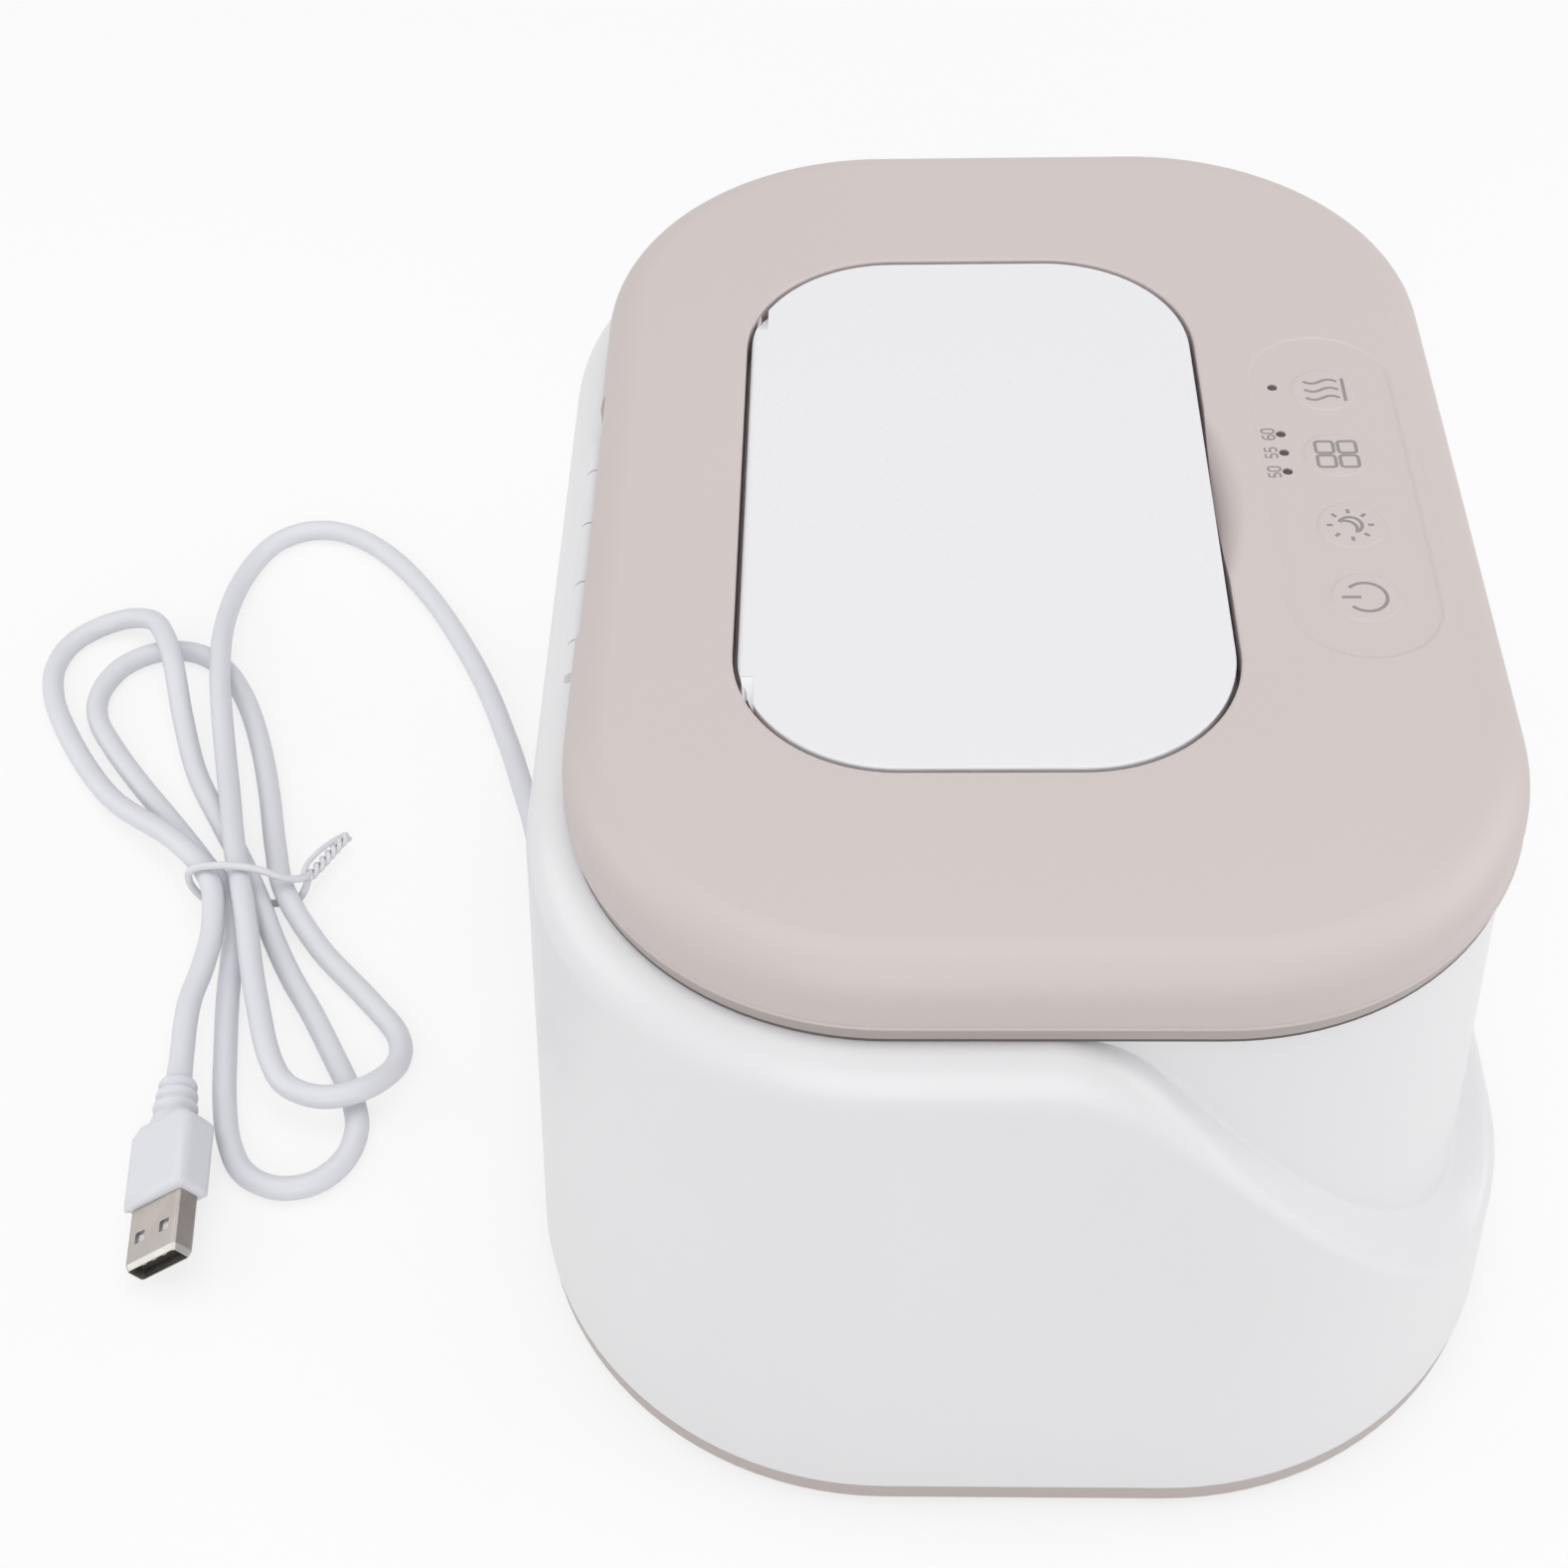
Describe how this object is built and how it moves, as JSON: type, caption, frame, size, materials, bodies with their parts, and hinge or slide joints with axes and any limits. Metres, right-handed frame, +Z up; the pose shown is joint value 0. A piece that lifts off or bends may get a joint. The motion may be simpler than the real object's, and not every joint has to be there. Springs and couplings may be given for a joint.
{
  "type": "baby wipe warmer",
  "caption": "Baby wipe warmer with drafted rounded walls, set-back front, hinged lid with touch controls, dispensing flap, heated inner tub and a folded five-volt cord",
  "frame": {"origin": "middle of the footprint of the housing, at the underside of the rubber feet", "axes": "+Z up, long axis along X, the user's side with the touch panel and set-back front towards -Y, the hinges and cord towards +Y"},
  "size_m": [0.2354, 0.2816, 0.121],
  "materials": {
    "white_housing": "fine satin moulded ABS",
    "taupe_trim": "satin moulded ABS, greyed pink-beige",
    "lid_plastic": "fine spark-eroded texture, greyed pink-beige",
    "flap_plastic": "semi-gloss moulded ABS",
    "tub_plastic": "smooth polypropylene",
    "foot_rubber": "matt rubber",
    "seal_silicone": "soft translucent silicone",
    "plated_steel": "zinc plated",
    "heater_film": "amber film over printed track",
    "spreader_aluminium": "rolled sheet",
    "insulation_felt": "needled felt",
    "black_plastic": "moulded",
    "board_laminate": "solder-masked circuit board",
    "light_laminate": "white solder mask",
    "led_resin": "clear resin",
    "cord_jacket": "soft moulded PVC",
    "tie_plastic": "paper-thin coated wire",
    "plug_steel": "nickel plated",
    "contact_brass": "gold flashed"
  },
  "bodies": {
    "body": {"outer_shell": "white_housing", "base_plate": "taupe_trim", "rubber_feet": "foot_rubber", "base_screws": "plated_steel", "inner_tub": "tub_plastic", "heater_band": "heater_film", "heat_plate": "spreader_aluminium", "insulation_pad": "insulation_felt", "temperature_sensor": "black_plastic", "main_board": "board_laminate", "board_parts": "black_plastic", "board_screws": "plated_steel", "night_light_board": "light_laminate", "night_light_leds": "led_resin", "lid_hinge_pin": "plated_steel", "cord_gland": "cord_jacket", "cord_sleeve": "cord_jacket", "cord_lead": "cord_jacket", "cord_hank": "cord_jacket", "cord_tail": "cord_jacket", "cord_tie": "tie_plastic", "plug_body": "cord_jacket", "plug_shell": "plug_steel", "plug_tongue": "black_plastic", "plug_contacts": "contact_brass"},
    "lid": {"lid_cover": "lid_plastic", "lid_liner": "taupe_trim", "lid_seal": "seal_silicone", "liner_screws": "plated_steel", "touch_board": "board_laminate", "touch_springs": "plated_steel", "indicator_leds": "led_resin", "dispensing_mouth": "seal_silicone", "flap_pins": "plated_steel"},
    "flap": {"flap_cover": "flap_plastic", "flap_seal": "seal_silicone"}
  },
  "joints": [
    {"name": "lid_hinge", "type": "hinge", "parent": "body", "child": "lid", "pos_m": [0, 0.0685, 0.1065], "axis": [-1, 0, 0], "range_deg": [0, 100]},
    {"name": "flap_hinge", "type": "hinge", "parent": "lid", "child": "flap", "pos_m": [0, 0.0422, 0.1198], "axis": [-1, 0, 0], "range_deg": [0, 95]}
  ]
}
